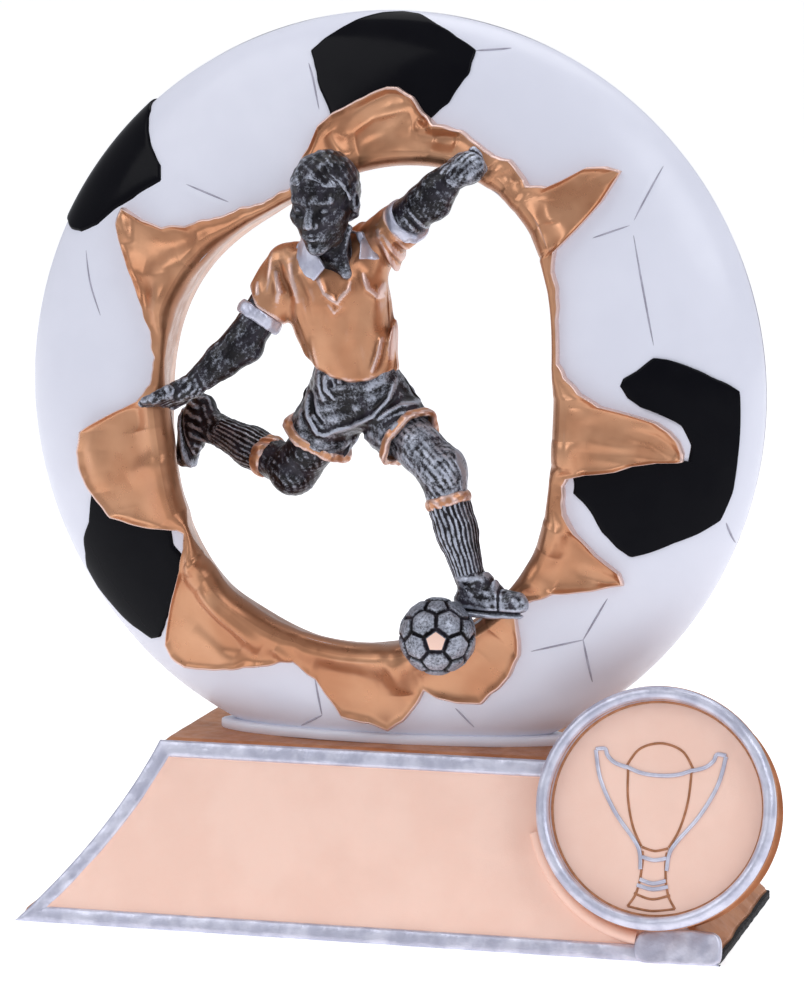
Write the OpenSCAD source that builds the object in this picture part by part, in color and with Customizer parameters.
// Figure trophy: a player in mid-kick inside the torn front of a ball, on a flared plinth
// with a name panel and a round centre-disc holder.
// Origin: centre of the plinth's underside. +X to the viewer's right, -Y to the viewer, +Z up.

/* [Plinth] */
// Width of the plinth at the bottom
base_w = 90; // [84:1:96]
// Depth of the plinth at the bottom
base_d = 38; // [34:1:42]
// Height of the plinth, with its felt
base_h = 23; // [21:0.5:25]
// Width of the plinth's top
base_top_w = 55; // [50:1:60]
// How far the sloping front face sets back from bottom to top
front_setback = 6; // [4:0.5:8]
// Width of the bars of the front frame
bar_w = 2.1; // [1.5:0.1:3]
// Thickness of the felt under the plinth
felt_t = 0.8; // [0.5:0.1:1.2]

/* [Centre disc holder] */
// Outer radius of the holder's rim
rim_r = 14.7; // [14.2:0.1:15.5]
// Radius of the recess for a standard 25 mm centre disc, with its lip
recess_r = 13.1; // [12.8:0.1:13.5]
// Angle that the holder leans back by
holder_tilt = 16; // [10:1:20]

/* [Ball] */
// Radius of the ball in its own plane
ball_r = 47.1; // [45:0.1:49]
// How far the front of the ball bulges
bulge_front = 12; // [11:0.5:15]
// How far the back of the ball bulges
bulge_back = 9; // [8:0.5:12]
// Mean radius of the hole through the ball, at its front lip
hole_mean = 27.45; // [26.5:0.05:28]
// How far the hole's lower left flares towards the back
hole_flare = 4.2; // [2:0.1:5]
// Thickness of the torn lining round the hole
lining_t = 1.6; // [1.2:0.1:2]
// Thickness of a flap that curls back from the hole
flap_t = 1.7; // [1.2:0.1:2.2]

/* [Player] */
// Radius of the skull
head_r = 4.5; // [4:0.1:5]
// Radius of the small ball
small_ball_r = 4.75; // [4.4:0.05:5.1]

/* [Hidden] */
$fn = 64;

copper = [0.76, 0.52, 0.33];
matte_copper = [0.95, 0.74, 0.58];
silver = [0.78, 0.80, 0.85];
antique = [0.22, 0.22, 0.25];
white = [0.86, 0.87, 0.92];
gloss_black = [0.04, 0.04, 0.05];

face_tilt = atan(front_setback / base_h);
ball_y = -2.5;
foot_t = 1.2;
foot_z = base_h + foot_t;
ball_z = base_h + 43.6;
tear_x = -4;
tear_z = ball_z - 0.6;
panel_t = 0.35;

// ---- helpers ----

// A 2D outline in X and Z, drawn solid from y0 back to y1
module upright(y0, y1) {
  translate([0, y1, 0]) rotate([90, 0, 0]) linear_extrude(y1 - y0) children();
}

// A straight round limb from point a to point b
module limb(a, b, ra, rb) {
  v = b - a;
  long = norm(v);
  translate(a) rotate([0, acos(v.z / long), atan2(v.y, v.x)])
    cylinder(h = long, r1 = ra, r2 = rb, $fn = 40);
}

// A limb with round ends, which stand a little proud of it like a joint
module bone(a, b, ra, rb) {
  limb(a, b, ra, rb);
  translate(a) sphere(ra * 1.04);
  translate(b) sphere(rb * 1.04);
}

// A smooth form stretched between two balls
module flesh(a, b, ra, rb, facets = 16) {
  hull() {
    translate(a) sphere(ra, $fn = facets);
    translate(b) sphere(rb, $fn = facets);
  }
}

// Moves its children from the front face's own plane, whose origin is the foot of the face
module on_face() {
  translate([0, -base_d / 2, 0]) rotate([90 - face_tilt, 0, 0]) children();
}

// Moves its children to the disc holder's own plane, +Z out of its face
module on_holder() {
  translate([36.8, -18, 18.9]) rotate([90 - holder_tilt, 0, 0]) children();
}

// ---- plinth ----

// Half width of the plinth at height z: a slope with a slight hollow
function flank(z) = let (s = z / base_h)
  base_w / 2 - (base_w - base_top_w) / 2 * s - 6.5 * s * (1 - s);

module flank_outline(z0, z1, inset = 0) {
  steps = 8;
  zs = [for (i = [0 : steps]) z0 + (z1 - z0) * i / steps];
  right = [for (z = zs) [flank(z) - inset, z]];
  left = [for (i = [steps : -1 : 0]) [inset - flank(zs[i]), zs[i]]];
  polygon(concat(right, left));
}

module plinth_side() {
  rotate([90, 0, 90]) translate([0, 0, -base_w / 2 - 1]) linear_extrude(base_w + 2)
    polygon([[-base_d / 2, 0], [base_d / 2, 0], [base_d / 2 - 2, base_h],
             [-base_d / 2 + front_setback, base_h]]);
}

module base_felt() {
  color([0.15, 0.15, 0.16]) translate([-43, -17.5, 0]) cube([86, 35, felt_t]);
}

module base_body() {
  color(copper) difference() {
    intersection() {
      upright(-base_d / 2, base_d / 2) flank_outline(0, base_h);
      plinth_side();
      on_face() translate([-60, -20, -60]) cube([120, 60, 60 - 1.2]);
    }
    translate([-43, -17.5, -1]) cube([86, 35, felt_t + 1]);
    for (x = [-12, 12]) translate([x, ball_y, base_h - 6]) cylinder(h = 7, r = 1.5);
    housing_puck();
  }
}

// The front face's outline, from the foot of the face up its slope
module face_outline(inset) {
  long = base_h / cos(face_tilt);
  steps = 8;
  s0 = inset / long;
  s1 = 1 - inset / long;
  ss = [for (i = [0 : steps]) s0 + (s1 - s0) * i / steps];
  side = inset == 0 ? 0 : inset * 1.15;
  right = [for (s = ss) [flank(s * base_h) - side, s * long]];
  left = [for (i = [steps : -1 : 0]) [side - flank(ss[i] * base_h), ss[i] * long]];
  polygon(concat(right, left));
}

module front_frame() {
  color(silver) difference() {
    on_face() translate([0, 0, -1.2]) linear_extrude(1.2) difference() {
      face_outline(0);
      face_outline(bar_w);
    }
    housing_puck();
    translate([-60, -30, -5]) cube([120, 60, 5]);
    translate([-60, -30, base_h]) cube([120, 60, 5]);
  }
}

module name_panel() {
  color(matte_copper) difference() {
    on_face() translate([0, 0, -1.2]) linear_extrude(0.7) face_outline(bar_w);
    housing_puck();
  }
}

// ---- centre disc holder ----

module housing_puck() {
  on_holder() translate([0, 0, -8]) cylinder(h = 8, r1 = rim_r - 1.2, r2 = rim_r + 0.2);
}

module disc_housing() {
  color(copper) difference() {
    housing_puck();
    on_holder() translate([0, 0, -1.6]) cylinder(h = 2, r = rim_r);
    translate([-60, -60, -20]) cube([120, 120, 20]);
  }
}

module disc_rim() {
  color(silver) on_holder() translate([0, 0, -1.6]) rotate_extrude($fn = 96)
    polygon([[recess_r, 0], [rim_r, 0], [rim_r, 1.9], [rim_r - 0.4, 2.3], [recess_r + 0.4, 2.3],
             [recess_r, 1.9]]);
}

module centre_disc() {
  color(matte_copper) on_holder() translate([0, 0, -1.6]) cylinder(h = 1, r = recess_r, $fn = 96);
}

// Half width of the cup at height y above the centre of the disc: its bowl, then its domed lid
function cup_half(y) = y > 4.9 ? 4.1 * sqrt(max(0.001, 1 - pow((y - 4.9) / 3, 2)))
                               : 1.6 + 2.4 * sqrt(max(0, (y + 4.7) / 9.6));

module cup_outline() {
  steps = 14;
  ys = [for (i = [0 : steps]) -4.7 + 12.6 * i / steps];
  polygon(concat([for (y = ys) [cup_half(y), y]], [for (i = [steps : -1 : 0]) [-cup_half(ys[i]), ys[i]]]));
}

module cup_bowl() {
  color(copper) on_holder() translate([0, 0, -0.6]) linear_extrude(0.4) {
    cup_outline();
    translate([-1.5, -8.4]) square([3, 4.1]);
    polygon([[-1.5, -8.3], [1.5, -8.3], [2.9, -12.2], [-2.9, -12.2]]);
  }
}

// Middle line of a handle at height y
function handle_x(y) = 1.8 + 6.2 * pow(max(0, (y + 5.4) / 12.1), 0.65);

module cup_handle() {
  steps = 10;
  ys = [for (i = [0 : steps]) -5.4 + 12.1 * i / steps];
  outer = [for (y = ys) [handle_x(y) + 0.35, y]];
  inner = [for (i = [steps : -1 : 0]) [handle_x(ys[i]) - 0.35, ys[i]]];
  polygon(concat(outer, inner));
  translate([6.4, 6.1]) square([1.6, 0.6]);
}

module cup_trim() {
  color(silver) on_holder() {
    translate([0, 0, -0.6]) linear_extrude(0.6) difference() {
      union() {
        cup_handle();
        mirror([1, 0]) cup_handle();
      }
      cup_outline();
      translate([-1.5, -8.4]) square([3, 4.1]);
    }
    translate([-4.1, 4.3, -0.2]) cube([8.2, 0.6, 0.3]);
    translate([-1.6, -6.3, -0.2]) cube([3.2, 0.6, 0.3]);
    translate([-1.9, -9.5, -0.2]) cube([3.8, 0.6, 0.3]);
  }
}

// ---- ball ----

function bulge(a, off) = (sin(a) > 0 ? bulge_front : bulge_back) + off;

// The ball's whole form, grown by off. It is round about the Y axis.
module ball_form(off) {
  steps = 20;
  rim = [for (i = [0 : steps]) let (a = 90 - 180 * i / steps)
    [(ball_r + off) * cos(a), bulge(a, off) * sin(a)]];
  translate([0, ball_y, ball_z]) rotate([90, 0, 0]) rotate_extrude($fn = 96)
    polygon([for (p = rim) [max(p.x, 0), p.y]]);
}

// A point at angle a and radius r from the tear's centre, as X and Z
function tear_point(a, r) = [tear_x + r * cos(a), tear_z + r * sin(a)];

// Radius of the hole's front lip at angle a, an uneven round
function hole_r(a) = hole_mean + 3.26 * cos(a + 13) + 2.22 * cos(2 * a - 161)
  + 1.17 * cos(3 * a - 153) + 0.95 * cos(4 * a + 149);

// How much wider the hole is at the ball's back
function flare(a) = 1 + hole_flare * pow(max(0, -cos(a - 30)), 1.5);

// The hole's outline, grown by off, as a thin slab at depth y. share is how much of the flare it has.
module hole_slab(y, off, share) {
  upright(y, y + 0.01) polygon([for (a = [0 : 8 : 352]) tear_point(a, hole_r(a) + off + share * flare(a))]);
}

module hole_plug(off) {
  hull() {
    hole_slab(-22, off, -0.5);
    hole_slab(14, off, 1.5);
  }
}

module below_foot(z) {
  translate([-60, -60, z - 60]) cube([120, 120, 60]);
}

module ball_shell() {
  color(white) difference() {
    union() {
      difference() {
        ball_form(0);
        below_foot(foot_z);
      }
      intersection() {
        ball_form(0.8);
        translate([-60, -60, base_h]) cube([120, 120, foot_t]);
      }
    }
    hole_plug(lining_t);
    ball_dowels();
  }
}

module ball_dowels() {
  color("gray") for (x = [-12, 12]) translate([x, ball_y, base_h - 6]) cylinder(h = 12, r = 1.5);
}

// A thin skin over the front of the ball, from height h0 to h1 above it
module front_skin(h0, h1) {
  difference() {
    ball_form(h1);
    ball_form(h0);
    translate([-60, ball_y, 0]) cube([120, 60, 130]);
    below_foot(foot_z);
  }
}

module back_skin(h0, h1) {
  difference() {
    ball_form(h1);
    ball_form(h0);
    translate([-60, ball_y - 60, 0]) cube([120, 60, 130]);
    below_foot(foot_z);
  }
}

// ---- torn lining and its flaps ----

// Each flap's torn edge: angle and radius about the tear's centre
TEAR = [[[103, 27], [111, 26.2], [124, 27.2], [133, 29.2], [138, 31.4], [141, 37], [144, 36.4], [151, 30.7],
         [156, 27.8], [161, 25.6], [172, 24.2]],
        [[172, 24.2], [181, 26.1], [186, 32.2], [188, 34.7], [192, 35.9], [201, 35.4], [207, 34.2],
         [215, 28.7], [220, 26.4]],
        [[220, 26.4], [226, 30], [231, 37.1], [233, 39.8], [238, 40.9], [243, 38.7], [249, 36.2],
         [259, 33.2]],
        [[259, 33.2], [264, 35], [269, 39.7], [274, 40.4], [277, 41.5], [280, 40.6], [286, 37.1]],
        [[286, 37.1], [291, 39.6], [295, 40.8], [302, 39.4], [306, 37.9], [308, 36.5], [311, 33.5]],
        [[311, 33.5], [316, 33.9], [320, 35.1], [324, 37.8], [328.5, 41.1], [330, 40], [331, 36.1], [336, 31],
         [342, 29.6]],
        [[342, 29.6], [346, 32], [350, 37], [351.6, 42.8], [353, 42.6], [356, 41.4], [358, 39.3], [361, 32.6],
         [364, 30.3], [368, 28.8], [376, 28.3]],
        [[16, 28.3], [26, 30.6], [32, 31.5], [36, 33.5], [37.5, 40.5], [40, 44.4], [44, 42], [46, 37.3],
         [49, 35.7], [55, 36.7], [58, 35.6]],
        [[58, 35.6], [66, 36.7], [71, 36.1], [77, 38.3], [82, 38.9], [88, 36.5], [95, 33.9], [97, 31.6],
         [103, 27]]];

module flap_outline(f) {
  edge = [for (p = f) tear_point(p[0], p[1])];
  polygon(concat([tear_point(f[0][0], 10)], edge, [tear_point(f[len(f) - 1][0], 10)]));
}

module tear_outline() {
  for (f = TEAR) flap_outline(f);
}

module torn_lining() {
  color(copper) intersection() {
    ball_form(0);
    difference() {
      hole_plug(lining_t);
      hole_plug(0);
    }
  }
}

module flap(i) {
  color(copper) difference() {
    intersection() {
      front_skin(0, flap_t);
      upright(-60, ball_y - 3) flap_outline(TEAR[i]);
    }
    hole_plug(0);
  }
}

module flap_upper_left() { flap(0); }
module flap_left() { flap(1); }
module flap_lower_left() { flap(2); }
module flap_bottom() { flap(3); }
module flap_bottom_right() { flap(4); }
module flap_lower_right() { flap(5); }
module flap_right() { flap(6); }
module flap_upper_right() { flap(7); }
module flap_top() { flap(8); }

// ---- black panels ----

module front_panel(points) {
  color(gloss_black) intersection() {
    front_skin(0, panel_t);
    upright(-60, ball_y) difference() {
      polygon(points);
      tear_outline();
    }
  }
}

module panel_top() {
  z = ball_z;
  front_panel([[-9.6, z + 42.2], [-9, z + 37], [-6.3, z + 33], [2, z + 34], [8.6, z + 35], [11.2, z + 37],
               [12.8, z + 44], [8, z + 50], [-5, z + 50]]);
}

module panel_upper_left() {
  z = ball_z;
  front_panel([[-46, z + 19.3], [-41.7, z + 19.4], [-34.4, z + 23], [-30.3, z + 24.8], [-28.3, z + 26.2],
               [-28, z + 29], [-29.9, z + 31.3], [-30.9, z + 35], [-38, z + 42]]);
}

module panel_lower_left() {
  z = ball_z;
  front_panel([[-38, z - 13], [-39.3, z - 19.8], [-38.7, z - 23.4], [-35.9, z - 28.8], [-30.5, z - 32],
               [-22, z - 20], [-25, z - 14]]);
}

module panel_right() {
  z = ball_z;
  front_panel([[30.7, z + 2.3], [34.7, z + 5.6], [44.3, z + 1.3], [43.4, z - 11], [41.9, z - 14.3],
               [31.6, z - 18.5], [28.6, z - 15.6], [25.2, z - 10.7], [25.1, z - 9], [33, z - 5]]);
}

// Five-sided panels on the plain back of the ball
module back_panels() {
  color(gloss_black) for (a = [90 : 72 : 378]) intersection() {
    back_skin(0, panel_t);
    upright(ball_y, 60) translate([37.5 * cos(a), ball_z + 36.5 * sin(a)]) rotate(a) circle(6, $fn = 5);
  }
}

// ---- player ----
// The player's own right side is at the viewer's left.

neck_base = [-4.3, -13.7, 83.8];
neck_top = [-4.3, -16.3, 87.7];
head_c = [-4.3, -17.7, 92.2];
shoulder_r = [-10.2, -12.5, 82.4];
shoulder_l = [-0.3, -10.5, 85];
chest = [-5.1, -12.1, 78.9];
waist = [-2.7, -9.7, 69.5];
elbow_r = [-15.6, -15.1, 73.4];
cuff_r = [-12.7, -13.7, 78.3];
wrist_r = [-21.6, -16.4, 68.1];
tip_r = [-28.4, -15.2, 65.5];
cuff_l = [3.5, -12.1, 87.6];
elbow_l = [7.4, -14.9, 90.9];
wrist_l = [10.7, -15.4, 94];
fist_l = [12.8, -15.1, 95.7];
hip_r = [-5.6, -7.7, 64.8];
hip_l = [-0.4, -8.3, 65.5];
knee_r = [-12.2, -4.4, 56.5];
ankle_r = [-23.4, 0.6, 60.4];
knee_l = [8.9, -13.5, 58.4];
ankle_l = [13.2, -14.5, 44.6];
ball_at = [9.5, -16.7, 38.4];

function between(a, b, t) = a + (b - a) * t;

band_at_r = between(knee_r, ankle_r, 0.36);
band_at_l = between(knee_l, ankle_l, 0.28);

// The head's own places: x across the face, y towards the back, z up, tilted with the neck
module on_head() {
  translate(head_c) rotate([14, 0, -8]) children();
}

module head_form() {
  on_head() {
    flesh([0, 0.3, 0.2], [0, -0.4, 0.1], head_r - 0.3, head_r - 0.4, 20);
    flesh([0, 0, -0.8], [0, -1.5, -3.9], 3.6, 2.1);
    flesh([0, -3.7, 0.1], [0, -4.9, -1.3], 0.4, 0.7, 10);
    flesh([-1.9, -3.4, 0.9], [1.9, -3.4, 0.9], 0.8, 0.8, 10);
    flesh([-0.9, -3.7, -2.6], [0.9, -3.7, -2.6], 0.55, 0.55, 10);
    flesh([-0.5, -3.1, -4.6], [0.5, -3.1, -4.6], 0.9, 0.9, 10);
    for (side = [-1, 1]) flesh([side * 4.0, 0.4, 0.2], [side * 3.9, 0.2, -1.4], 0.6, 0.45, 10);
  }
}

module head() {
  color(antique) difference() {
    head_form();
    hair_form();
    limb(neck_base, neck_top, 2.3, 2.2);
  }
}

module hair_form() {
  on_head() intersection() {
    translate([0, 0.6, 0.5]) sphere(head_r + 0.35, $fn = 20);
    rotate([-32, 0, 0]) translate([-8, -6, 0.9]) cube([16, 20, 12]);
  }
}

module hair() {
  color(antique) difference() {
    hair_form();
    on_head() flesh([0, 0.4, 0], [0, 0.2, 0], head_r - 0.9, head_r - 0.9);
  }
}

module neck() {
  color(antique) difference() {
    limb(neck_base, neck_top, 2.3, 2.2);
    torso_form();
  }
}

module torso_form() {
  flesh(shoulder_r + [1, 0, -0.6], shoulder_l + [-0.8, 0, -0.8], 3.1, 2.9);
  flesh(between(shoulder_r, chest, 0.4), waist + [-2.4, 0, 0], 4.0, 3.4);
  flesh(between(shoulder_l, chest, 0.4), waist + [2.0, 0, 0], 4.0, 3.3);
  flesh(chest, waist, 4.8, 3.7);
}

module sleeves() {
  flesh(shoulder_r, cuff_r, 3.2, 2.9);
  flesh(shoulder_l, cuff_l, 3.0, 2.7);
}

module jersey() {
  color(copper) difference() {
    union() {
      torso_form();
      sleeves();
    }
    collar_form();
    cuff_form_right();
    cuff_form_left();
    limb(cuff_r, wrist_r, 2.4, 1.7);
    limb(cuff_l, elbow_l, 2.2, 2.2);
    shorts_form();
  }
}

// A flat ring round a limb, r is its outer radius
module band(a, b, t, wide, r) {
  m = between(a, b, t);
  axis = (b - a) / norm(b - a);
  limb(m - axis * wide / 2, m + axis * wide / 2, r, r);
}

module collar_form() {
  band(neck_base, neck_top, 0.28, 1.5, 3.9);
}

module collar() {
  color(silver) difference() {
    collar_form();
    limb(neck_base, neck_top, 2.3, 2.2);
  }
}

module cuff_form_right() { band(cuff_r, elbow_r, 0.5, 1.5, 3.3); }
module cuff_form_left() { band(cuff_l, elbow_l, 0.35, 1.5, 3.2); }

module cuff_right() {
  color(silver) difference() {
    cuff_form_right();
    limb(cuff_r, wrist_r, 2.4, 1.7);
  }
}

module cuff_left() {
  color(silver) difference() {
    cuff_form_left();
    limb(cuff_l, elbow_l, 2.2, 2.2);
  }
}

module arm_right() {
  color(antique) limb(cuff_r, wrist_r, 2.4, 1.7);
}

module arm_left() {
  color(antique) difference() {
    union() {
      limb(cuff_l, elbow_l, 2.2, 2.2);
      translate(elbow_l) sphere(2.3);
      limb(elbow_l, wrist_l, 2.2, 1.8);
    }
    translate(fist_l) sphere(2.4);
  }
}

module hand_right() {
  color(antique) difference() {
    union() {
      bone(wrist_r, between(wrist_r, tip_r, 0.5), 1.7, 1.4);
      bone(between(wrist_r, tip_r, 0.5), tip_r, 1.4, 0.9);
    }
    limb(cuff_r, wrist_r, 2.4, 1.7);
    flaps_all();
  }
}

module hand_left() {
  color(antique) difference() {
    translate(fist_l) sphere(2.4);
    flaps_all();
  }
}

module shorts_form() {
  flesh(waist + [-2.2, 0, -1.4], hip_r, 3.7, 4.1);
  flesh(waist + [2.0, 0, -1.4], hip_l, 3.6, 4.1);
  flesh(hip_r, between(hip_r, knee_r, 0.2), 4.1, 4.2);
  flesh(hip_l, between(hip_l, knee_l, 0.45), 4.1, 4.0);
}

module shorts() {
  color(antique) difference() {
    shorts_form();
    past_hem(hip_r, knee_r, 0.36);
    past_hem(hip_l, knee_l, 0.62);
    for (i = [0 : 3]) flesh(between(hip_r, knee_r, 0.3 + i * 0.2), knee_r, 3.2, 2.8);
    for (i = [0 : 1]) flesh(between(hip_l, knee_l, 0.3 + i * 0.3), knee_l, 3.2, 2.8);
  }
}

// All that lies past a hem's near edge
module past_hem(a, b, t) {
  band(a, b, t + 5.45 / norm(b - a), 12, 6);
}

module hem_form_right() { band(hip_r, knee_r, 0.36, 1.1, 4.7); }
module hem_form_left() { band(hip_l, knee_l, 0.62, 1.1, 4.4); }

module hem_right() {
  color(copper) difference() {
    hem_form_right();
    limb(hip_r, knee_r, 3.2, 2.9);
  }
}

module hem_left() {
  color(copper) difference() {
    hem_form_left();
    limb(hip_l, knee_l, 3.2, 2.9);
  }
}

module thigh_right() {
  color(antique) difference() {
    union() {
      limb(between(hip_r, knee_r, 0.3), knee_r, 3.1, 2.7);
      translate(knee_r) sphere(2.85);
      limb(knee_r, band_at_r, 2.6, 2.3);
    }
    sock_band_right();
  }
}

module thigh_left() {
  color(antique) difference() {
    union() {
      limb(between(hip_l, knee_l, 0.3), knee_l, 3.1, 2.7);
      translate(knee_l) sphere(2.85);
      limb(knee_l, band_at_l, 2.6, 2.35);
    }
    sock_band_left();
  }
}

module sock_form_right() { limb(band_at_r, ankle_r, 2.5, 1.9); }
module sock_form_left() { limb(band_at_l, ankle_l, 2.7, 1.7); }

module sock_right() {
  color(antique) difference() {
    sock_form_right();
    sock_band_right();
    boot_form_right();
  }
}

module sock_left() {
  color(antique) difference() {
    sock_form_left();
    sock_band_left();
    boot_form_left();
  }
}

module sock_band_right() { color(copper) band(knee_r, ankle_r, 0.36, 1.1, 2.8); }
module sock_band_left() { color(copper) band(knee_l, ankle_l, 0.28, 1.1, 2.95); }

module boot_form_right() {
  bone([-26.6, 2.3, 63.8], [-28.6, 1.9, 56.9], 1.8, 1.6);
  bone(ankle_r, [-26.8, 1.9, 60.6], 2.0, 1.85);
}

module boot_right() {
  color(antique) intersection() {
    boot_form_right();
    hole_plug(0);
  }
}

module boot_form_left() {
  bone(ankle_l, ankle_l + [0, 0.3, -1.6], 2.0, 2.0);
  bone(ankle_l + [-0.6, 0.9, -1.8], ankle_l + [6.2, -1.2, -1.6], 1.9, 1.5);
}

module boot_left() {
  color(antique) difference() {
    boot_form_left();
    small_ball_form();
    boot_dowels();
    flaps_all();
  }
}

// Where the hands, the standing boot and the small ball are cut back to the flaps they touch
module flaps_all() {
  difference() {
    intersection() {
      ball_form(flap_t);
      upright(-60, ball_y) tear_outline();
    }
    hole_plug(0);
  }
}

module boot_dowels() {
  color("gray") limb([15.6, -14.4, 42.8], [17.4, -8.6, 40], 0.6, 0.6);
}

module small_ball_form() {
  translate(ball_at) sphere(small_ball_r);
}

module small_ball() {
  color(antique) difference() {
    small_ball_form();
    flaps_all();
    small_ball_panel_form();
    small_ball_pin();
  }
}

module small_ball_panel_form() {
  translate(ball_at) rotate([82, 0, 10]) rotate(18) cylinder(h = small_ball_r + 1, r = 1.5, $fn = 5);
}

module small_ball_panel() {
  color(matte_copper) intersection() {
    small_ball_panel_form();
    difference() {
      translate(ball_at) sphere(small_ball_r + 0.05);
      translate(ball_at) sphere(small_ball_r - 0.8);
    }
  }
}

module small_ball_pin() {
  color("gray") limb(ball_at, ball_at + [0.3, 7, -4], 0.6, 0.6);
}

base_felt();
base_body();
front_frame();
name_panel();
disc_housing();
disc_rim();
centre_disc();
cup_bowl();
cup_trim();
ball_dowels();
ball_shell();
panel_top();
panel_upper_left();
panel_lower_left();
panel_right();
back_panels();
torn_lining();
flap_upper_left();
flap_left();
flap_lower_left();
flap_bottom();
flap_bottom_right();
flap_lower_right();
flap_right();
flap_upper_right();
flap_top();
head();
hair();
neck();
jersey();
collar();
cuff_right();
cuff_left();
arm_right();
arm_left();
hand_right();
hand_left();
shorts();
hem_right();
hem_left();
thigh_right();
thigh_left();
sock_band_right();
sock_band_left();
sock_right();
sock_left();
boot_right();
boot_left();
boot_dowels();
small_ball();
small_ball_panel();
small_ball_pin();
